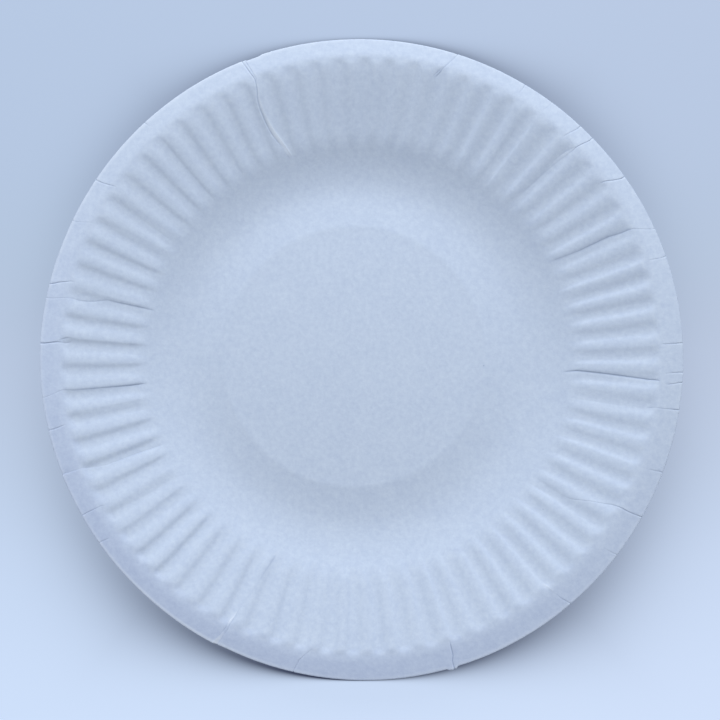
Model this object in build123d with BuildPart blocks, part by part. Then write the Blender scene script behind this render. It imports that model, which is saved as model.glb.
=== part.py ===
# A round pressed paper plate with a fluted wall: one sheet from its centre to its cut edge.
# Millimetres, +Z up, origin on the axis at the floor. It rests upright on the flat ring under its base.
from build123d import *
import os
from math import cos, pi, radians, sin, tan

os.makedirs("parts", exist_ok=True)

# the sheet
rimRadius = 115.0  # cut edge, 230 mm across
sheet = 0.4  # pressed paper, measured upright

# the base: a flat disc, the crease round it, and the ring that it rests on
discRadius = 47.6
discLift = 0.75  # disc above the rest ring
restInner = 56.0
restOuter = 58.8
creaseCorner = 51.8  # where the crease's steep side would meet the ring's level
seamRadius = 57.4  # the turned base and the wall join here, within the rest ring

# the bowl, from the rest ring up to the flutes in equal bands that steepen outward
bowlSlopes = [4.0, 12.0, 19.0, 24.5]

# the fluted wall
rootRadius = 77.6  # flutes rise out of the bowl here
fullRadius = 82.2  # flutes are fully raised here
scoopRadius = 103.8  # valleys begin to scoop up to the crest
crestRadius = 107.4  # flutes end here
wallAngle = 17.4  # slope of the mean surface between the full flutes' ends
tipAngle = 20.0  # mean slope where the flutes rise out of the bowl
scoopAngle = 18.0  # mean slope of the scoops
fluteCount = 72
fluteRise = 0.6  # ridge above valley, at mid wall
midRadius = 93.0
firstRidge = 1.5  # degrees, azimuth of one ridge line

# the crest and the lip, which droops outward
lipRadius = 110.0  # the rounded crest gives way to the lip here
crestAngle = 2.0  # droop of the crest
lipAngle = 9.5

pitch = 2 * pi / fluteCount
quarter = pitch / 4


# one pitch of a ring: a ridge arc and a valley arc, each half a pitch long
def ringCurves(radius, height, rise):
    curves = []
    for turn, side in ((0, 1), (2 * quarter, -1)):
        middle = radians(firstRidge) + turn
        ends = [
            (radius * cos(angle), radius * sin(angle), height)
            for angle in (middle - quarter, middle + quarter)
        ]
        corner = radius / cos(quarter)
        peak = (corner * cos(middle), corner * sin(middle), height + side * rise)
        curves.append(Edge.make_bezier(ends[0], peak, ends[1]))
    return curves


# a whole ring, as one closed outline
def ringWire(radius, height):
    curves = ringCurves(radius, height, 0)
    turns = [360 / fluteCount * step for step in range(fluteCount)]
    return Wire([curve.rotate(Axis.Z, turn) for turn in turns for curve in curves])


# every ring of the sheet's underside: radius, mean height, ridge above valley
rings = [(restOuter, 0, 0)]
bowlStep = (rootRadius - restOuter) / len(bowlSlopes)
for slope in bowlSlopes:
    radius, height, rise = rings[-1]
    rings.append((radius + bowlStep, height + bowlStep * tan(radians(slope)), 0))
rootHeight = rings[-1][1]
fullHeight = rootHeight + (fullRadius - rootRadius) * tan(radians(tipAngle))
scoopHeight = fullHeight + (scoopRadius - fullRadius) * tan(radians(wallAngle))
crestHeight = scoopHeight + (crestRadius - scoopRadius) * tan(radians(scoopAngle))
lipHeight = crestHeight - (lipRadius - crestRadius) * tan(radians(crestAngle))
rimHeight = lipHeight - (rimRadius - lipRadius) * tan(radians(lipAngle))
rings.append((fullRadius, fullHeight, fluteRise * fullRadius / midRadius))
rings.append((scoopRadius, scoopHeight, fluteRise * scoopRadius / midRadius))
rings.append((crestRadius, crestHeight, 0))
rings.append((lipRadius, lipHeight, 0))
rings.append((rimRadius, rimHeight, 0))

# the bowl, wall, crest and lip: one pitch of faces, repeated round the axis
pitchFaces = []
for lift in (0, sheet):
    rows = [ringCurves(radius, height + lift, rise) for radius, height, rise in rings]
    for inner, outer in zip(rows, rows[1:]):
        for innerCurve, outerCurve in zip(inner, outer):
            pitchFaces.append(Face.make_surface_from_curves(innerCurve, outerCurve))
for lower, upper in zip(
    ringCurves(rimRadius, rimHeight, 0), ringCurves(rimRadius, rimHeight + sheet, 0)
):
    pitchFaces.append(Face.make_surface_from_curves(lower, upper))
wallFaces = []
for step in range(fluteCount):
    wallFaces += [face.rotate(Axis.Z, 360 / fluteCount * step) for face in pitchFaces]

# the outer half of the rest ring, which closes the wall at the seam
for lift in (0, sheet):
    seam = Edge.make_circle(seamRadius, Plane.XY.offset(lift))
    wallFaces.append(Face(ringWire(restOuter, lift), [Wire([seam])]))
wallFaces.append(Face.extrude(Edge.make_circle(seamRadius), (0, 0, sheet)))
wall = Solid(Shell(wallFaces))

with BuildPart() as plate:
    with BuildSketch(Plane.XZ):
        with BuildLine():
            for lift in (0, sheet):
                Line((0, discLift + lift), (discRadius, discLift + lift))
                Bezier(
                    (discRadius, discLift + lift), (creaseCorner, lift), (restInner, lift)
                )
                Line((restInner, lift), (seamRadius, lift))
            Line((0, discLift), (0, discLift + sheet))
            Line((seamRadius, 0), (seamRadius, sheet))
        make_face()
    revolve(axis=Axis.Z)
    add(wall)
plate.part.label = "plate"
export_step(plate.part, "parts/plate.step")
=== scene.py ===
import bpy
import math
import numpy as np
from mathutils import Matrix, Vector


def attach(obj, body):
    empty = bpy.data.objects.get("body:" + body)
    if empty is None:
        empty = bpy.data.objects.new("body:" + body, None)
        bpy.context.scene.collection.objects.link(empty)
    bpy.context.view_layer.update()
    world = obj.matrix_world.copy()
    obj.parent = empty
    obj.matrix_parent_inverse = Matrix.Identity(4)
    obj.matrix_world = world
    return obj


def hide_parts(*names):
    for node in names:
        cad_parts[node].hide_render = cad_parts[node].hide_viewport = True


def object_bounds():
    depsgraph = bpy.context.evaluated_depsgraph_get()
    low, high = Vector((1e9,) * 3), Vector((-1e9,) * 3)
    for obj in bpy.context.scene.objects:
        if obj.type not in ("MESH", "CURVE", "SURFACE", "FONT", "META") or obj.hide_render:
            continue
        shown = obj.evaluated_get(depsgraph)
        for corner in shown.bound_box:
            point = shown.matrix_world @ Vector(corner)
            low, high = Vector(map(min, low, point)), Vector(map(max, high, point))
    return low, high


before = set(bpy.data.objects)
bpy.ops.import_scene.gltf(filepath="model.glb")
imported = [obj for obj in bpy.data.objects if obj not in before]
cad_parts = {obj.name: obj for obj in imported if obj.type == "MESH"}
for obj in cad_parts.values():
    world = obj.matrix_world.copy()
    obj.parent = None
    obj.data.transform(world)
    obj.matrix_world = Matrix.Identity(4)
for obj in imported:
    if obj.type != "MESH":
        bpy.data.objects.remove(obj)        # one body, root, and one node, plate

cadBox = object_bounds()
scene = bpy.context.scene


def linear(hexCode):
    parts = [int(hexCode[i:i + 2], 16) / 255 for i in (1, 3, 5)]
    return tuple(c / 12.92 if c <= 0.04045 else ((c + 0.055) / 1.055) ** 2.4 for c in parts) + (1.0,)


def addNode(tree, kind, inputs=None, **settings):
    # an input is given a value, or another node's socket to be linked to
    node = tree.nodes.new(kind)
    for name, value in settings.items():
        setattr(node, name, value)
    for name, value in (inputs or {}).items():
        if isinstance(value, bpy.types.NodeSocket):
            tree.links.new(value, node.inputs[name])
        else:
            node.inputs[name].default_value = value
    return node


def newMaterial(name):
    material = bpy.data.materials.new(name)
    material.use_nodes = True
    material.node_tree.nodes.clear()
    return material, material.node_tree


def ease(x, low, high):
    t = np.clip((x - low) / (high - low), 0, 1)
    return t * t * (3 - 2 * t)


# The camera looks nearly straight down, a little from the bottom of the picture
print("camera")
shot = {
    "aim": (0.0002, -0.0029, 0.0145),   # middle of the picture, at the level of the rim
    "distance": 0.477,                  # metres from there
    "fromBottom": 5.9,                  # degrees off straight down
    "fromRight": 1.8,
    "width": 0.25698,                   # metres across the picture at that distance
    "pixels": 720,                      # across the photograph
}
lookAt = np.array(shot["aim"]) * 1000   # mm, as the plate's own sizes below
forward = np.array([-math.tan(math.radians(shot["fromRight"])), math.tan(math.radians(shot["fromBottom"])), -1])
forward /= np.linalg.norm(forward)
rightward = np.cross(forward, [0, 1, 0])
rightward /= np.linalg.norm(rightward)
upward = np.cross(rightward, forward)
eye = lookAt - forward * shot["distance"] * 1000

cameraData = bpy.data.cameras.new("camera")
cameraData.sensor_fit = "HORIZONTAL"
cameraData.angle = 2 * math.atan(shot["width"] / 2 / shot["distance"])
cameraData.clip_start, cameraData.clip_end = 0.01, 20
camera = bpy.data.objects.new("camera", cameraData)
camera.location = eye / 1000
camera.rotation_euler = Matrix([rightward, upward, -forward]).transposed().to_euler()
scene.collection.objects.link(camera)
scene.camera = camera
scene.view_settings.view_transform = "Standard"

print("plate: section")
form = {
    "rimRadius": 115.0,      # mm, to the cut edge
    "board": 0.4,            # thickness of the paper
    "slopes": [              # (mm from the axis, degrees that the sheet climbs outwards)
        (0, 0), (30, -0.4), (44.4, -0.7), (46.2, 0.2), (47.6, 0.6),          # flat centre
        (48.5, -6.8), (49.6, -6.7), (51.5, -5.9), (55.5, -4.2),              # down to the ring that it rests on
        (59.2, -0.9), (62.8, 6.8), (66.5, 13.2), (70.2, 18.4), (73.9, 23.0), (76.4, 25.2),      # bowl
        (79.1, 21.8), (82.9, 16.8), (86, 16.9), (90, 17.6), (104, 17.8),     # fluted wall
        (106, 14.5), (107.7, 3.4), (109.5, -6.6), (111, -8.2), (117, -8.4)],     # crest and lip
    "soften": 0.45,          # mm, how far a change of slope is spread
    "flutes": 72,
    "firstRidge": 1.68,      # degrees round from +X
    "steepShare": 0.38,      # share of the pitch in the steeper flank of each flute
    "rise": 0.6,             # mm from valley to ridge
    "riseRadius": 93,        # mm from the axis, where the rise is that; it grows with the radius
    "square": 0.08,          # how much fuller than a plain wave the ridges and valleys are
    "tips": (75.6, 83.3),    # mm from the axis, where the ridges grow out of the bowl
    "scoops": (105.0, 107.9),      # where the valleys end under the rim
    "pointed": (76, 85, 1.3),      # from where to where the ridges widen from their points, and how narrow those are
    "rounded": (103, 108, 0.45),   # the same for the valleys, which narrow to the scoops
    "ridgeShift": 0.18,      # degrees, unevenness of the pressing
    "riseSpread": 0.13,
    "riseAround": [          # (degrees from +X, how deep the press marked the flutes there)
        (0, 1.0), (30, 0.82), (65, 0.86), (115, 0.66), (147, 0.78), (185, 1.06), (222, 1.22), (255, 1.38),
        (297, 1.15), (327, 1.02)],
    "drift": [               # (mm from the axis, mm that the press struck off the blank's middle, along X and Y)
        (0, -2.5, 0.3), (48, -2.5, 0.3), (74, -1.1, 0.1), (84, -0.65, 0.15), (96, -0.25, 0.2), (103, -0.05, 0.35),
        (107, -0.4, 0.85), (113, 0, 0)],
    "lobes": [(2, 0.52, 121), (4, 0.15, 14)],   # times round, mm and degrees: how far the cut edge is from a circle
    "edgeWave": 0.12,        # mm, finer unevenness of the cut edge
    "edgeAround": [          # (degrees from +X, mm that the punch left the cut edge further out there)
        (0, 0.05), (45, -0.1), (70, 0.12), (100, 0.04), (120, 0.2), (158, 0.04), (178, 0.33), (197, 0),
        (243.5, 0.05), (245.5, -0.42), (270, -0.3), (288, -0.25), (320, 0.1)],
    "rimWave": 0.08,         # mm, how far the rim is from level
    "paintedEdgeHighlight": [            # (degrees from +X, how strong the painted highlight along the cut edge is there)
        (0, 0.05), (45, 0.05), (75, 0.15), (95, 0.3), (120, 0.4), (165, 0.3), (185, 0.2), (210, 0.25), (225, 0.6),
        (240, 0.7), (270, 0.12), (285, 0.35), (300, 0.55), (330, 0.14)],
    "seed": 11,
    "columnStep": 0.45,      # degrees between columns of the mesh
}
gridStep = 0.05              # mm between the places where the section is worked out
gridReach = 40               # steps to either side that softening looks at
mmGrid = np.arange(0, form["rimRadius"] + 2.5, gridStep)
slope = np.interp(mmGrid, *zip(*form["slopes"]))
reach = np.arange(-gridReach, gridReach + 1) * gridStep
weight = np.exp(-0.5 * (reach / form["soften"]) ** 2)
slope = np.convolve(np.pad(slope, gridReach, mode="edge"), weight / weight.sum(), mode="valid")
section = np.concatenate([[0], np.cumsum(np.tan(np.radians(slope[:-1])) * gridStep)])
section -= section[mmGrid < 70].min()         # the ring that it rests on is the lowest
aroundAt, aroundRise = zip(*form["riseAround"])
highestRidge = 0.5 * form["rise"] * max(aroundRise) * mmGrid / form["riseRadius"] * (1 - ease(mmGrid, *form["scoops"]))
crest = (section + highestRidge).max()
asHigh = (cadBox[1].z * 1000 - form["board"]) / crest
section = section * asHigh + form["board"]    # top of the sheet, as high as the solid
dice = np.random.default_rng(form["seed"])
ridgeAt = form["firstRidge"] + 360 / form["flutes"] * np.arange(form["flutes"])
ridgeShift = dice.normal(0, form["ridgeShift"], form["flutes"])
ridgeRise = 1 + dice.normal(0, form["riseSpread"], form["flutes"])
edgeTurns = dice.uniform(0, 360, 7)


def drift(radius):
    # how far the pressed shape lies off the blank's middle at this radius, along X and Y
    at, alongX, alongY = zip(*form["drift"])
    return np.array([np.interp(radius, at, alongX), np.interp(radius, at, alongY)])


def onPlate(x, y):
    # azimuth and radius of the place on the plate that the photograph shows at pixel x, y
    centre = shot["pixels"] / 2
    across = shot["width"] / shot["distance"] / shot["pixels"]
    ray = forward + rightward * (x - centre) * across + upward * (centre - y) * across
    level, middle = 14.0, np.zeros(2)          # a first guess of the height, mended in turns
    for turn in range(12):
        spot = eye + ray * (level - eye[2]) / ray[2]
        fromMiddle = spot[:2] - middle
        radius = math.hypot(*fromMiddle)
        level, middle = np.interp(radius, mmGrid, section), drift(radius)
    return math.degrees(math.atan2(fromMiddle[1], fromMiddle[0])), radius


# Creases that the press left, each from the rim inwards.
# line: x and y in pixels of the photograph, then how strong the crease is there, below nought a pale ridge.
# groove: mm deep, and painted shade darkens it. lip: mm that the side towards the top of the picture stands proud.
# width: mm, of the groove on the wall and on the rim. pale: how much the fibres beside it whiten.
# apart: mm between a pleat's two lines at each point. second: how strong the upper or right one is there.
# strip: how much the paper between the two whitens.
# notch: from and to in mm along the edge, and how far the cut edge steps in, or out with a depth below nought.
creases = [
    {"line": [(243.4, 61.5, 0.8), (249.4, 70, 1), (255.5, 79, 0.9), (257.4, 86, 1), (258.4, 98, 1), (260.5, 106, 1),
              (264.5, 116, 1), (269.6, 126, 1), (275, 135, 1), (281, 143, 0.6), (287.5, 152, -0.6), (291, 157, -0.6)],
     "groove": 0.15, "lip": 0.10, "apart": [1.2, 0.9, 0.5, 0.5, 0.8, 1.0, 1.2, 1.5, 1.7, 1.5, 1.2, 0.8],
     "second": [0.9, 0.9, 0.6, -0.1, -0.2, -0.2, -0.2, -0.3, -0.5, -0.8, -0.8, -0.3],
     "strip": [0.3, 0.3, 0.1, 0.3, 0.5, 0.5, 0.4, 0.8, 1, 0.6, 0, 0], "notch": (0.9, 6.3, 0.42)},
    {"line": [(146, 124, 1), (150, 127, 0.5)], "groove": 0.07, "lip": 0.04},
    {"line": [(95.7, 180, 1), (106, 184, 0.8), (116, 187, 0.5)], "groove": 0.12, "lip": 0.08},
    {"line": [(75, 221.5, 0.7), (94, 223, 0.5)], "groove": 0.05, "lip": 0.03},
    {"line": [(49.4, 284, 1), (58, 282.5, 1), (68, 281.5, 0.7), (75, 281.8, 0.4)],
     "groove": 0.16, "lip": 0.07, "pale": 0.9},
    {"line": [(45.8, 297.7, 0.4), (64.7, 297.7, 0.3), (73, 298.5, 0.3), (82, 301, 0.5), (93, 301.5, 0.6),
              (107, 300, 0.3), (120, 303, 0.6), (143.6, 308, 0.65), (156, 311, 0.3)],
     "groove": 0.14, "lip": 0.07, "width": (0.34, 0.13), "pale": 1.0},
    {"line": [(43, 343, 1), (52, 342.2, 1), (57.5, 341.4, 0.9), (62, 340.8, 0.4), (66, 340.5, 0.4), (70, 340, 0.4),
              (73, 338.5, 0.2)],
     "groove": 0.18, "lip": 0.10, "width": (0.16, 0.19), "pale": 0.8, "apart": [0.1, 0.1, 0.3, 1.2, 1.8, 1.6, 0.1],
     "second": [0, 0, 0.3, 0.6, 0.6, 0.5, 0.2], "strip": [0, 0, 0, 0.1, 0.2, 0.1, 0]},
    {"line": [(43, 397.7, 0.3), (62.5, 390, 0.3), (100, 388, 0.6), (130, 385.5, 1), (144.5, 383.6, 1)],
     "groove": 0.15, "lip": 0.07, "width": (0.3, 0.13)},
    {"line": [(50, 430, 0.8), (58, 427.5, 1), (66, 424.4, 0.4)], "groove": 0.12, "lip": 0.07},
    {"line": [(64.7, 474, 0.9), (80, 469.5, 0.4), (105, 466, 0.4), (134, 455, 1), (162, 445.4, 0.8)],
     "groove": 0.07, "lip": -0.18, "width": (0.25, 0.13)},
    {"line": [(85, 513.7, 1), (106, 505, 0.4)], "groove": 0.10, "lip": 0.05},
    {"line": [(100.5, 542, 1), (110, 537.6, 0.5)], "groove": 0.08, "lip": 0.05},
    {"line": [(215.5, 642.5, 0.3), (222, 634.5, 0.3), (227, 628, 0.8), (231, 620, 0.7), (240, 606, 0.2),
              (255.5, 587, 0.2), (266, 570, 0.5), (276, 555, 0.5)],
     "groove": 0.13, "lip": 0.07, "width": (0.42, 0.15), "apart": [1.8, 1.0, 0.9, 0.8, 0.3, 0.05, 0.05, 0.05],
     "second": [-0.5, 0.2, 0.9, -0.4, 0, 0, 0, 0], "strip": [0.8, 0.4, 0.2, 0.9, 0, 0, 0, 0], "notch": (-2.5, 0.5, 0.1)},
    {"line": [(293.5, 671, 0.8), (299, 660, 0.8), (314, 648, 0.4)], "groove": 0.09, "lip": 0.06},
    {"line": [(454.3, 668.3, 0.9), (452, 660, 0.9), (453, 655, 1), (451, 647, 0.9), (449.8, 640, 0.5)],
     "groove": 0.19, "lip": 0.13, "width": (0.2, 0.24), "pale": 1.2, "notch": (-1.7, 1.3, -0.7)},
    {"line": [(570, 602.6, 0.7), (559.5, 597, 0.4), (553, 591, -0.3), (547.5, 586.5, -1), (541.5, 583, -0.8)],
     "groove": 0.13, "lip": 0.08, "width": (0.3, 0.13)},
    {"line": [(616, 554, 0.8), (604, 548, 0.5)], "groove": 0.07, "lip": 0.05},
    {"line": [(639.7, 516, 0.9), (628, 511.5, 1), (611.5, 504.4, 0.7), (590, 501, 0.4), (568, 498.5, 0.4)],
     "groove": 0.12, "lip": 0.10},
    {"line": [(660, 471.4, 0.9), (647, 468.8, 0.5)], "groove": 0.08, "lip": 0.05},
    {"line": [(677, 409.8, 1), (671, 409.2, 0.8), (662, 408.6, 0.4), (646, 408, 0.3)], "groove": 0.13, "lip": 0.06},
    {"line": [(679.8, 382.5, 0.8), (668, 384.4, 0.5), (665.5, 384, 0), (661, 382, -0.15), (657, 380, 0.9),
              (620, 375.5, 1), (577, 370.6, 1), (562, 372, 0.3)],
     "groove": 0.17, "lip": 0.08, "width": (0.3, 0.13)},
    {"line": [(679.8, 372.3, 1), (672, 372.7, 0.8), (669.5, 373.2, 0.3), (663.6, 374, 0.3)],
     "groove": 0.12, "lip": 0.05},
    {"line": [(679.8, 343, 1), (670, 343.8, 0.9), (660, 344.4, 0.5)], "groove": 0.11, "lip": 0.06},
    {"line": [(664.7, 256.6, 0.8), (648.4, 260.3, 0.4)], "groove": 0.09, "lip": 0.07},
    {"line": [(654, 228.6, 0.3), (633, 229, 0.4), (628, 230, 0.7), (607.5, 237, 0.8), (577.5, 251.5, 0.6),
              (551, 261.5, 0.4)],
     "groove": 0.15, "lip": 0.08, "width": (0.5, 0.13)},
    {"line": [(623.5, 177.4, 1), (612, 180.5, 0.9), (599.6, 183.5, 0.5)], "groove": 0.16, "lip": 0.08, "pale": 0.7},
    {"line": [(592, 138.4, 1), (577, 146.6, 0.9), (573, 149, 0.5), (566, 153, 0.3), (559, 158, 0.3),
              (545, 171, 0.28), (521, 194, 0.3)],
     "groove": 0.13, "lip": 0.09, "width": (0.3, 0.13), "apart": [0.05, 0.05, 0.8, 1.1, 1.0, 0.4, 0.1],
     "second": [0, 0, 0.4, 0.5, 0.3, 0, 0], "strip": [0, 0, 0.3, 0.4, 0.3, 0, 0]},
    {"line": [(580, 126.5, 1), (562.7, 137.3, 0.5)], "groove": 0.12, "lip": 0.07},
    {"line": [(549.7, 105, 0.6), (540, 112, 0.5)], "groove": 0.05, "lip": 0.03},
    {"line": [(524.8, 85.3, 1), (518, 94, 0.4)], "groove": 0.07, "lip": 0.05},
    {"line": [(457, 54.3, 0.6), (446, 65, 0.6), (440, 71, 0.8), (433.5, 77.5, 1)],
     "groove": 0.14, "lip": 0.10, "apart": [0.4, 0.4, 0.8, 1.1], "second": [0.3, 0.3, 0.7, 0.8]},
]
creaseLook = {
    "width": (0.16, 0.13),   # mm, for a crease that gives none
    "widthAt": (103, 108),   # mm from the axis, where the first gives way to the second
    "begin": (-0.3, 1.5),    # mm from its inner end, where it starts and where it is whole
    "pale": 0.5,
    "paleAt": 0.4,           # mm beside the line, and how wide
    "paleWidth": 0.17,
    "paleSides": (0.6, 0.35),      # how strong it is below or left of the line, and beyond
    "lipReach": 1.8,         # mm in which the proud side sinks back
    "edgeBite": (0.15, 0.9), # mm that a line cuts into the edge, and share of the lip that the edge draws back
    "darkGroove": 0.16,      # mm deep, from where a groove's painted shade is as dark as it gets
}
for crease in creases:
    plain = [0] * len(crease["line"])
    asides = [crease.get(side, plain) for side in ("apart", "second", "strip")]
    path = sorted((*onPlate(x, y)[::-1], strength, *others)
                  for (x, y, strength), *others in zip(crease["line"], *asides))
    names = ("radii", "azimuths", "strengths", "gaps", "seconds", "strips")
    crease.update(zip(names, (np.array(side) for side in zip(*path))))
    crease["atRim"] = crease["radii"][-1] > 112.5
    crease["inner"] = crease["radii"][0]
    crease["azimuths"] = np.unwrap(crease["azimuths"], period=360)
creases.sort(key=lambda crease: crease["azimuths"][0])

print("plate: mesh")
bulge = 0.08                 # mm that the middle of the cut edge stands out past its corners
stretches = [                # (mm from the axis, to, number of rows), closer where the section turns
    (3, 43.5, 4), (43.5, 46.5, 4), (46.5, 49.7, 8), (49.7, 59, 5), (59, 74, 8), (74, 84, 11), (84, 103, 10),
    (103, 110.5, 13), (110.5, 114.5, 4)]
rows = [np.linspace(start, end, number, endpoint=False) for start, end, number in stretches]
rows = np.concatenate(rows + [[114.5, form["rimRadius"] - bulge]])

# Every crease has its own close columns, and the ordinary ones share out the space between two creases
guides = np.array([np.interp(rows, crease["radii"], crease["azimuths"]) for crease in creases])
free = np.array([rows < crease["inner"] for crease in creases])    # inside a crease's end its columns may give way
keepApart = 165 / np.maximum(rows, 60)        # degrees between two creases, about 2.9 mm


def nextTo(k):
    # number of the next crease round, and the degrees to add where that is past a whole turn
    return (k + 1, 0) if k + 1 < len(creases) else (0, 360)


for turn in range(4):
    for k in range(len(creases)):
        after, lap = nextTo(k)
        short = np.maximum(keepApart - (guides[after] + lap - guides[k]), 0)
        share = np.where(free[k] & free[after], 0.5, 1)
        guides[k] -= short * np.where(free[k], share, 0)
        guides[after] += short * np.where(free[after], share, 0)
gaps = np.diff(np.vstack([guides, guides[:1] + 360]), axis=0)      # degrees to the next crease, row by row
gapsBefore = np.roll(gaps, 1, axis=0)


def closeColumns(k):
    # degrees from the crease's middle, row by row, for each of its close columns
    crease = creases[k]
    half = np.interp(rows, crease["radii"], crease["gaps"]) / 2
    steps = [0, 0.12, 0.28, 0.75, 1.6]        # mm from a line of the crease
    if crease["gaps"].any():
        inside = half - np.minimum(steps[1], half * 0.6)
        offsets = [-half - step for step in steps[:0:-1]] + [-half, -inside, inside, half]
        offsets += [half + step for step in steps[1:]]
    else:
        offsets = [-step + 0 * half for step in steps[:0:-1]] + [step + 0 * half for step in steps]
    lever = np.maximum(rows, 20)              # near the axis a millimetre would be too many degrees
    widest = np.degrees(offsets[-1] / lever)
    allowed = 0.42 * np.minimum(gaps[k], gapsBefore[k])        # they stay within this share of the gap
    spread = np.where(free[k], 1 + 1.2 * ease(crease["inner"] - rows, 0, 12), 1)    # wider past its inner end
    fit = np.minimum(spread, allowed / widest)
    return [np.degrees(offset / lever) * fit for offset in offsets]


columns = []
for k in range(len(creases)):
    after, lap = nextTo(k)
    columns += [guides[k] + offset for offset in closeColumns(k)]
    start, end = columns[-1], guides[after] + lap + closeColumns(after)[0]
    number = max(1, int(round((end - start)[rows > 80].mean() / form["columnStep"])))
    columns += [start + (end - start) * i / number for i in range(1, number)]
azimuth = np.array(columns).T                 # rows by columns, degrees
radius = np.repeat(rows[:, None], azimuth.shape[1], axis=1)
print("columns", azimuth.shape[1], "least step", float(np.diff(azimuth, axis=1).min()))


def flutes(radius, azimuth):
    # mm that the flutes add to the section
    shift = np.interp(azimuth, ridgeAt, ridgeShift, period=360)
    strength = np.interp(azimuth, ridgeAt, ridgeRise, period=360)
    turns = ((azimuth - form["firstRidge"] - shift) * form["flutes"] / 360) % 1
    share = form["steepShare"]
    turns = np.where(turns < share, turns / share / 2, 0.5 + (turns - share) / (1 - share) / 2)
    wave = np.cos(2 * np.pi * turns)
    fuller = (1 + 3 * form["square"]) * wave - 4 * form["square"] * wave ** 3
    hump = 0.5 + 0.5 * fuller / (1 - form["square"])
    inner, whole, pointed = form["pointed"]
    wide, outer, rounded = form["rounded"]
    narrow = 1 + pointed * (1 - ease(radius, inner, whole)) - rounded * ease(radius, wide, outer)
    hump = hump ** narrow - 0.5 * narrow ** -0.42     # the mean of the wave stays at about nought
    depth = ease(radius, *form["tips"]) * (1 - ease(radius, *form["scoops"]))
    around = np.interp(azimuth, aroundAt, aroundRise, period=360)
    return form["rise"] * radius / form["riseRadius"] * around * strength * depth * hump


height = np.interp(radius, mmGrid, section) + flutes(radius, azimuth)
turnsRound = np.radians(azimuth)
waviness = sum(np.cos(n * turnsRound + np.radians(edgeTurns[i])) / n for i, n in enumerate((2, 3, 5, 8, 13, 21, 34)))
height += form["rimWave"] * waviness * ease(radius, 96, 115)
edge = form["edgeWave"] * waviness            # mm that the rim reaches further out
edge += sum(mm * np.cos(n * np.radians(azimuth - peak)) for n, mm, peak in form["lobes"])
edge += np.interp(azimuth, *zip(*form["edgeAround"]), period=360)
edge = edge * ease(radius, 109, 115)
fold = np.zeros_like(height)                  # above nought painted shade darkens the paper there, below nought it whitens: beside creases, and as the painted highlight along the cut edge
for crease in creases:
    away = (azimuth - np.interp(radius, crease["radii"], crease["azimuths"]) + 180) % 360 - 180
    towardsTop = np.sign(np.cos(np.radians(crease["azimuths"][-1])))
    away = away * np.radians(1) * radius * towardsTop      # mm, towards the picture's top
    begin = ease(radius - crease["inner"], *creaseLook["begin"])
    fade, second, strip = (np.interp(radius, crease["radii"], crease[side]) * begin
                           for side in ("strengths", "seconds", "strips"))
    half = np.interp(radius, crease["radii"], crease["gaps"]) / 2
    wide = np.interp(radius, creaseLook["widthAt"], crease.get("width", creaseLook["width"]))
    dip, dipBeyond = np.exp(-((away + half) / wide) ** 2), np.exp(-((away - half) / wide) ** 2)
    paleAt, paleWidth = creaseLook["paleAt"], creaseLook["paleWidth"]
    nearSide, farSide = creaseLook["paleSides"]
    beside = nearSide * np.exp(-((away + half + paleAt) / paleWidth) ** 2)
    beside += farSide * np.exp(-((away - half - paleAt) / paleWidth) ** 2)
    ledge = np.where(away > -half, np.exp(-np.maximum(away + half, 0) / creaseLook["lipReach"]), 0)
    deep = min(1, crease["groove"] / creaseLook["darkGroove"])
    dips = fade * dip + second * dipBeyond
    height += np.abs(fade) * crease["lip"] * ledge - crease["groove"] * dips
    # painted shade at the bottom of the groove, and whiter paper beside it
    fold += deep * dips - crease.get("pale", creaseLook["pale"]) * deep * np.abs(fade) * beside
    fold -= strip * (np.abs(away) < half - 0.02)
    if crease["atRim"]:
        bite, drawBack = creaseLook["edgeBite"]
        edge -= ease(radius, 112, 115) * (bite * dip + drawBack * abs(crease["lip"]) * ledge)
    if "notch" in crease:
        start, end, depth = crease["notch"]
        within = ease(away, start - 0.2, start + 0.2) * (1 - ease(away, end - 0.3, end + 0.3))
        edge -= ease(radius, 111, 115) * depth * within
# painted highlight along the cut edge, where it catches the light
paintedEdgeHighlight = np.interp(azimuth, *zip(*form["paintedEdgeHighlight"]), period=360)
fold -= ease(radius, 114, 114.6) * paintedEdgeHighlight * (1 + 0.3 * waviness)
offX, offY = drift(radius)
outTo = radius + edge
top = np.stack([outTo * np.cos(turnsRound) + offX, outTo * np.sin(turnsRound) + offY, height], axis=2)

# The cut edge with its two rounded corners, then the underside on every third row
corner = 0.09                # mm, height of a corner
out = np.stack([np.cos(turnsRound[-1]), np.sin(turnsRound[-1]), 0 * turnsRound[-1]], axis=1)
down = np.array([0, 0, 1.0])
cut = [top[-1] + out * bulge - down * corner, top[-1] + out * bulge - down * (form["board"] - corner)]
under = top[::-3] - down * form["board"]
under[..., 2] = np.maximum(under[..., 2], 0)
rings = np.concatenate([top, np.array(cut), under])
foldRings = np.clip(np.concatenate([fold, fold[-1:], fold[-1:] * 0.5, fold[::-3] * 0.5]), -1, 1)

ringCount, columnCount = rings.shape[:2]
centre = np.interp(0, mmGrid, section)
points = np.concatenate([rings.reshape(-1, 3), [[0, 0, centre], [0, 0, centre - form["board"]]]]) * 0.001
index = np.arange(ringCount * columnCount).reshape(ringCount, columnCount)
turned = np.roll(index, -1, axis=1)
quads = np.stack([index[:-1], index[1:], turned[1:], turned[:-1]], axis=2).reshape(-1, 4).tolist()
topCentre, underCentre = len(points) - 2, len(points) - 1
fans = [[topCentre, int(a), int(b)] for a, b in zip(index[0], turned[0])]
fans += [[underCentre, int(b), int(a)] for a, b in zip(index[-1], turned[-1])]

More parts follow.
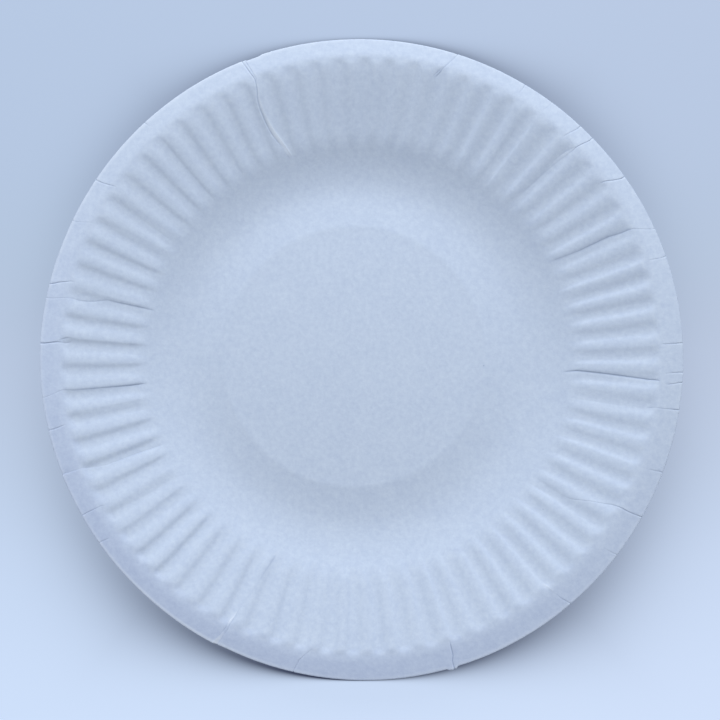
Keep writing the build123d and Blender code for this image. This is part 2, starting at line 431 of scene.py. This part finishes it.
mesh = bpy.data.meshes.new("plateSheet")
mesh.from_pydata(points.tolist(), [], quads + fans)
mesh.validate()
mesh.shade_smooth()
foldLayer = mesh.attributes.new("fold", "FLOAT", "POINT")
foldLayer.data.foreach_set("value", np.append(foldRings.reshape(-1), [0, 0]).astype(np.float32))
plateSheet = bpy.data.objects.new("plate_sheet", mesh)
scene.collection.objects.link(plateSheet)
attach(plateSheet, "root")
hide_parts("plate")
print("triangles", 2 * len(quads) + len(fans))

# Bleached paper board, pressed: to the eye a dull, cool white with a felt-like mottle and no shine
print("plate: paper")
paperLook = {
    "colour": "#c2d1e6",
    "flockDark": "#afbfd9",
    "mottleMm": 0.85,        # width of the fibre flocks, coarser than the real ones so that they still show
    "cloudMm": 6.0,
    "cloudShare": 0.2,
    "mottleRange": (0.32, 0.88),   # a narrower one gives more contrast
    "shadeAndSpeckColour": "#8094b8",
    "creaseShadeShare": 0.5,        # how far painted shade darkens the bottom of a crease
    "paleColour": "#dce8f9",
    "paleShare": 0.7,        # how far the paper whitens: loosened fibres beside a crease, and the painted highlight along the cut edge
    "paintedShadeTint": (1.0, 1.01, 1.075, 1.0),   # painted shade: where the rim turns away from the lamp it is tinted bluer, as the room's blue light would show there
    "coolFrom": 245.0,       # degrees from +X, where that is strongest
    "coolSpread": (-0.03, 0.1),    # metres towards there, from where to where it grows
    "coolAt": (0.105, 0.111),      # metres from the axis, the same
    "specks": [(483.6, 365.6, 0.3), (543, 509.4, 0.3)],   # dark fibres: pixels of the photograph, and mm across
    "grainScale": 1400.0,    # per metre, the tooth of the surface
    "flockRelief": 1.6,      # how much of the relief the flocks make beside it
    "bumpStrength": 0.35,
    "bumpMetres": 0.00006,
    "roughness": 0.82,
    "ior": 1.47,             # cellulose
    "sheen": 0.3,            # weaker than a smooth surface would mirror
}
boardPaper, tree = newMaterial("bleachedPaperBoard")
where = addNode(tree, "ShaderNodeTexCoord").outputs["Object"]
flocks = addNode(tree, "ShaderNodeTexNoise", {
    "Vector": where, "Scale": 1000 / (2 * paperLook["mottleMm"]), "Detail": 4.0, "Roughness": 0.72}).outputs["Fac"]
clouds = addNode(tree, "ShaderNodeTexNoise", {
    "Vector": where, "Scale": 1000 / (2 * paperLook["cloudMm"]), "Detail": 2.0, "Roughness": 0.5}).outputs["Fac"]
mixed = addNode(tree, "ShaderNodeMath", {0: clouds, 1: paperLook["cloudShare"], 2: flocks},
                operation="MULTIPLY_ADD").outputs[0]
mottle = addNode(tree, "ShaderNodeMapRange", {
    "Value": mixed, "From Min": paperLook["mottleRange"][0], "From Max": paperLook["mottleRange"][1]}).outputs[0]
sheetColour = addNode(tree, "ShaderNodeMix", {
    "Factor": mottle, "A": linear(paperLook["flockDark"]), "B": linear(paperLook["colour"])},
    data_type="RGBA").outputs["Result"]
for x, y, across in paperLook["specks"]:
    speckAzimuth, speckRadius = onPlate(x, y)
    turn = math.radians(speckAzimuth)
    spot = speckRadius * np.array([math.cos(turn), math.sin(turn)]) + drift(speckRadius)
    spot = tuple(np.append(spot, np.interp(speckRadius, mmGrid, section)) / 1000)
    away = addNode(tree, "ShaderNodeVectorMath", {0: where, 1: spot}, operation="DISTANCE").outputs["Value"]
    speck = addNode(tree, "ShaderNodeMapRange", {
        "Value": away, "From Min": across * 0.0012, "From Max": across * 0.0004, "To Max": 0.6}).outputs[0]
    sheetColour = addNode(tree, "ShaderNodeMix", {
        "Factor": speck, "A": sheetColour, "B": linear(paperLook["shadeAndSpeckColour"])}, data_type="RGBA").outputs["Result"]

# painted shade: the lip turned away from the lamp is made bluer
coolTurn = math.radians(paperLook["coolFrom"])
towardsCool = addNode(tree, "ShaderNodeVectorMath", {0: where, 1: (math.cos(coolTurn), math.sin(coolTurn), 0)},
                      operation="DOT_PRODUCT").outputs["Value"]
coolSide = addNode(tree, "ShaderNodeMapRange", {
    "Value": towardsCool, "From Min": paperLook["coolSpread"][0],
    "From Max": paperLook["coolSpread"][1]}).outputs[0]
fromAxis = addNode(tree, "ShaderNodeVectorMath", {0: where}, operation="LENGTH").outputs["Value"]
onLip = addNode(tree, "ShaderNodeMapRange", {
    "Value": fromAxis, "From Min": paperLook["coolAt"][0], "From Max": paperLook["coolAt"][1]}).outputs[0]
paintedShadeShare = addNode(tree, "ShaderNodeMath", {0: coolSide, 1: onLip}, operation="MULTIPLY").outputs[0]
sheetColour = addNode(tree, "ShaderNodeMix", {"Factor": paintedShadeShare, "A": sheetColour, "B": paperLook["paintedShadeTint"]},
                      data_type="RGBA", blend_type="MULTIPLY").outputs["Result"]

# fold above nought: painted shade in the creases; below nought: whiter paper
foldHere = addNode(tree, "ShaderNodeAttribute", attribute_name="fold").outputs["Fac"]
creaseShadeShare = addNode(tree, "ShaderNodeMath", {0: foldHere, 1: paperLook["creaseShadeShare"]},
                    operation="MULTIPLY", use_clamp=True).outputs[0]
paleShare = addNode(tree, "ShaderNodeMath", {0: foldHere, 1: -paperLook["paleShare"]},
                    operation="MULTIPLY", use_clamp=True).outputs[0]
for share, tone in ((paleShare, "paleColour"), (creaseShadeShare, "shadeAndSpeckColour")):
    sheetColour = addNode(tree, "ShaderNodeMix", {"Factor": share, "A": sheetColour, "B": linear(paperLook[tone])},
                          data_type="RGBA").outputs["Result"]

grain = addNode(tree, "ShaderNodeTexNoise", {
    "Vector": where, "Scale": paperLook["grainScale"], "Detail": 2.0, "Roughness": 0.6}).outputs["Fac"]
relief = addNode(tree, "ShaderNodeMath", {0: flocks, 1: paperLook["flockRelief"], 2: grain},
                 operation="MULTIPLY_ADD").outputs[0]
bump = addNode(tree, "ShaderNodeBump", {
    "Height": relief, "Strength": paperLook["bumpStrength"], "Distance": paperLook["bumpMetres"]}).outputs["Normal"]
shader = addNode(tree, "ShaderNodeBsdfPrincipled", {
    "Base Color": sheetColour, "Normal": bump, "Roughness": paperLook["roughness"], "IOR": paperLook["ior"],
    "Specular IOR Level": paperLook["sheen"]})
addNode(tree, "ShaderNodeOutputMaterial", {"Surface": shader.outputs["BSDF"]})
mesh.materials.append(boardPaper)

print("floor")
floorLook = {
    "half": 4.0,             # metres from the middle to an edge
    "tones": [               # metres towards the top of the picture, and colour there: painted light, lighter towards the bottom and darker towards the top
        (-0.130, "#d4e4fe"), (-0.072, "#cadaf4"), (-0.036, "#c3d2ea"), (0.0, "#bcc9e1"), (0.036, "#b7c7de"),
        (0.075, "#b8c8e2"), (0.125, "#b9c9e3")],
    "span": 0.15,            # metres from the middle that the tones cover
    "roughness": 0.9,
    "sheen": 0.2,
    "leftTint": "#fbfeff",   # the floor a little darker towards the left
    "ownLight": (0.15, 0.9),       # under the rim and outside it: softens the shadow that the camera sees there,
    "ownFrom": (0.098, 0.1195),    # metres from the middle, and leaves the light on the plate alone
    # The floor carries a painted shadow around the rim. The real plate touches its curved backdrop at the top and
    # bottom of the picture, so its shade is deep and narrow there and widens and weakens towards the sides. In each
    # pair the bottom comes first, then the top.
    "rimMiddle": (-0.0006, 0.0015, 0.0),   # of the ring on the floor that the rim's edge covers in the picture
    "rimRadius": 0.11855,
    "paintedShadowColour": "#000834",
    "gapShade": (1.0, 0.58),
    "bottomToTop": 0.3,            # share of the radius, up and down, in which the one turns into the other
    "gapFade": 0.41,               # lower, and it is weaker at the sides
    "gapLeast": (0.0002, 0.0012),  # metres wide
    "gapScale": (1.0, 0.6),        # times that width and what the sides add
    "gapWiden": 0.065,             # metres that the sides add
    "gapMost": 0.0155,             # metres, the widest
    "gapPower": 1.3,               # above 1, it ends less gradually
}
half, span = floorLook["half"], floorLook["span"]
floorMesh = bpy.data.meshes.new("floor")
floorMesh.from_pydata([(-half, -half, 0), (half, -half, 0), (half, half, 0), (-half, half, 0)], [], [(0, 1, 2, 3)])
floor = bpy.data.objects.new("floor", floorMesh)
scene.collection.objects.link(floor)

# Board under matt paint: pale and without shine, with a painted shadow around the plate's rim and painted light,
# lighter towards the bottom of the picture
paleFloor, tree = newMaterial("mattPaintedBoard")
where = addNode(tree, "ShaderNodeTexCoord").outputs["Object"]
onFloor = addNode(tree, "ShaderNodeSeparateXYZ", {"Vector": where})
along = addNode(tree, "ShaderNodeMapRange", {
    "Value": onFloor.outputs["Y"], "From Min": -span, "From Max": span}).outputs[0]
ramp = addNode(tree, "ShaderNodeValToRGB", {"Fac": along})
ramp.color_ramp.interpolation = "B_SPLINE"
while len(ramp.color_ramp.elements) < len(floorLook["tones"]):
    ramp.color_ramp.elements.new(0.5)
for stop, (place, tone) in zip(ramp.color_ramp.elements, floorLook["tones"]):
    stop.position, stop.color = (place + span) / (2 * span), linear(tone)
across = addNode(tree, "ShaderNodeMapRange", {
    "Value": onFloor.outputs["X"], "From Min": -span, "From Max": span}).outputs[0]
tint = addNode(tree, "ShaderNodeMix", {"Factor": across, "A": linear(floorLook["leftTint"]), "B": (1, 1, 1, 1)},
               data_type="RGBA").outputs["Result"]
# painted light from the tones, times the darkening towards the left
paint = addNode(tree, "ShaderNodeMix", {"Factor": 1.0, "A": ramp.outputs["Color"], "B": tint},
                data_type="RGBA", blend_type="MULTIPLY").outputs["Result"]

fromRim = addNode(tree, "ShaderNodeVectorMath", {0: where, 1: floorLook["rimMiddle"]}, operation="SUBTRACT").outputs[0]
fromMiddle = addNode(tree, "ShaderNodeVectorMath", {0: fromRim}, operation="LENGTH").outputs["Value"]
fromRimY = addNode(tree, "ShaderNodeSeparateXYZ", {"Vector": fromRim}).outputs["Y"]
upright = addNode(tree, "ShaderNodeMath", {0: fromRimY, 1: fromMiddle}, operation="DIVIDE").outputs[0]


def bottomToTop(pair):
    # from the first value at the bottom of the picture to the second at the top
    return addNode(tree, "ShaderNodeMapRange", {
        "Value": upright, "From Min": -floorLook["bottomToTop"], "From Max": floorLook["bottomToTop"],
        "To Min": pair[0], "To Max": pair[1]}).outputs[0]


steep = addNode(tree, "ShaderNodeMath", {0: upright}, operation="ABSOLUTE").outputs[0]
# nought at the top and bottom of the picture and one at its sides
aside = addNode(tree, "ShaderNodeMath", {0: 1.0, 1: steep}, operation="SUBTRACT").outputs[0]
beyond = addNode(tree, "ShaderNodeMath", {0: fromMiddle, 1: floorLook["rimRadius"]}, operation="SUBTRACT").outputs[0]
outside = addNode(tree, "ShaderNodeMath", {0: beyond, 1: 0.0}, operation="MAXIMUM").outputs[0]
widening = addNode(tree, "ShaderNodeMath", {0: aside, 1: floorLook["gapWiden"], 2: bottomToTop(floorLook["gapLeast"])},
                   operation="MULTIPLY_ADD").outputs[0]
width = addNode(tree, "ShaderNodeMath", {0: widening, 1: floorLook["gapMost"]}, operation="MINIMUM").outputs[0]
width = addNode(tree, "ShaderNodeMath", {0: width, 1: bottomToTop(floorLook["gapScale"])},
                operation="MULTIPLY").outputs[0]
farness = addNode(tree, "ShaderNodeMath", {0: outside, 1: width}, operation="DIVIDE").outputs[0]
farness = addNode(tree, "ShaderNodeMath", {0: farness, 1: floorLook["gapPower"]}, operation="POWER").outputs[0]
weaker = addNode(tree, "ShaderNodeMath", {0: aside, 1: 1 / floorLook["gapFade"], 2: farness},
                 operation="MULTIPLY_ADD").outputs[0]
fallen = addNode(tree, "ShaderNodeMath", {0: math.exp(-1), 1: weaker}, operation="POWER").outputs[0]
# painted shadow on the floor, deepest at the rim and fading outwards
shade = addNode(tree, "ShaderNodeMath", {0: bottomToTop(floorLook["gapShade"]), 1: fallen},
                operation="MULTIPLY").outputs[0]
shaded = addNode(tree, "ShaderNodeMix", {"Factor": shade, "A": paint, "B": linear(floorLook["paintedShadowColour"])},
                 data_type="RGBA").outputs["Result"]

shader = addNode(tree, "ShaderNodeBsdfPrincipled", {
    "Base Color": ramp.outputs["Color"], "Roughness": floorLook["roughness"],
    "Specular IOR Level": floorLook["sheen"]})
glow = addNode(tree, "ShaderNodeEmission", {"Color": shaded, "Strength": 1.0})
seenDirectly = addNode(tree, "ShaderNodeLightPath").outputs["Is Camera Ray"]
middleOut = addNode(tree, "ShaderNodeVectorMath", {0: where}, operation="LENGTH").outputs["Value"]
(ownInner, ownOuter), (ownLeast, ownMost) = floorLook["ownFrom"], floorLook["ownLight"]
own = addNode(tree, "ShaderNodeMapRange", {
    "Value": middleOut, "From Min": ownInner, "From Max": ownOuter, "To Min": ownLeast, "To Max": ownMost},
    interpolation_type="SMOOTHSTEP").outputs[0]
share = addNode(tree, "ShaderNodeMath", {0: seenDirectly, 1: own}, operation="MULTIPLY").outputs[0]
floorBlend = addNode(tree, "ShaderNodeMixShader", {0: share, 1: shader.outputs["BSDF"], 2: glow.outputs[0]})
addNode(tree, "ShaderNodeOutputMaterial", {"Surface": floorBlend.outputs[0]})
floorMesh.materials.append(paleFloor)

# One wide soft lamp from the top of the picture and an even white room
print("light")
lamp = {
    "turn": 4.0,             # degrees from +Y towards +X
    "height": 40.0,          # degrees above the floor
    "distance": 0.95,        # metres
    "size": 0.85,
    "power": 9.5,
    "room": 0.455,           # strength of the room's light
    "backdrop": "#bccce5",   # what the camera sees beyond the floor
}
lampData = bpy.data.lights.new("softLamp", "AREA")
lampData.shape, lampData.size = "SQUARE", lamp["size"]
lampData.energy = lamp["power"]
softLamp = bpy.data.objects.new("softLamp", lampData)
turn, rise = math.radians(lamp["turn"]), math.radians(lamp["height"])
softLamp.location = (lamp["distance"] * math.sin(turn) * math.cos(rise),
                     lamp["distance"] * math.cos(turn) * math.cos(rise), lamp["distance"] * math.sin(rise))
softLamp.rotation_euler = softLamp.location.to_track_quat("Z", "Y").to_euler()
scene.collection.objects.link(softLamp)

room = bpy.data.worlds.new("room")
scene.world = room
room.use_nodes = True
tree = room.node_tree
tree.nodes.clear()
glow = addNode(tree, "ShaderNodeBackground", {"Color": (1, 1, 1, 1), "Strength": lamp["room"]})
seen = addNode(tree, "ShaderNodeBackground", {"Color": linear(lamp["backdrop"]), "Strength": 1.0})
seenDirectly = addNode(tree, "ShaderNodeLightPath").outputs["Is Camera Ray"]
pick = addNode(tree, "ShaderNodeMixShader", {0: seenDirectly, 1: glow.outputs[0], 2: seen.outputs[0]})
addNode(tree, "ShaderNodeOutputWorld", {"Surface": pick.outputs[0]})
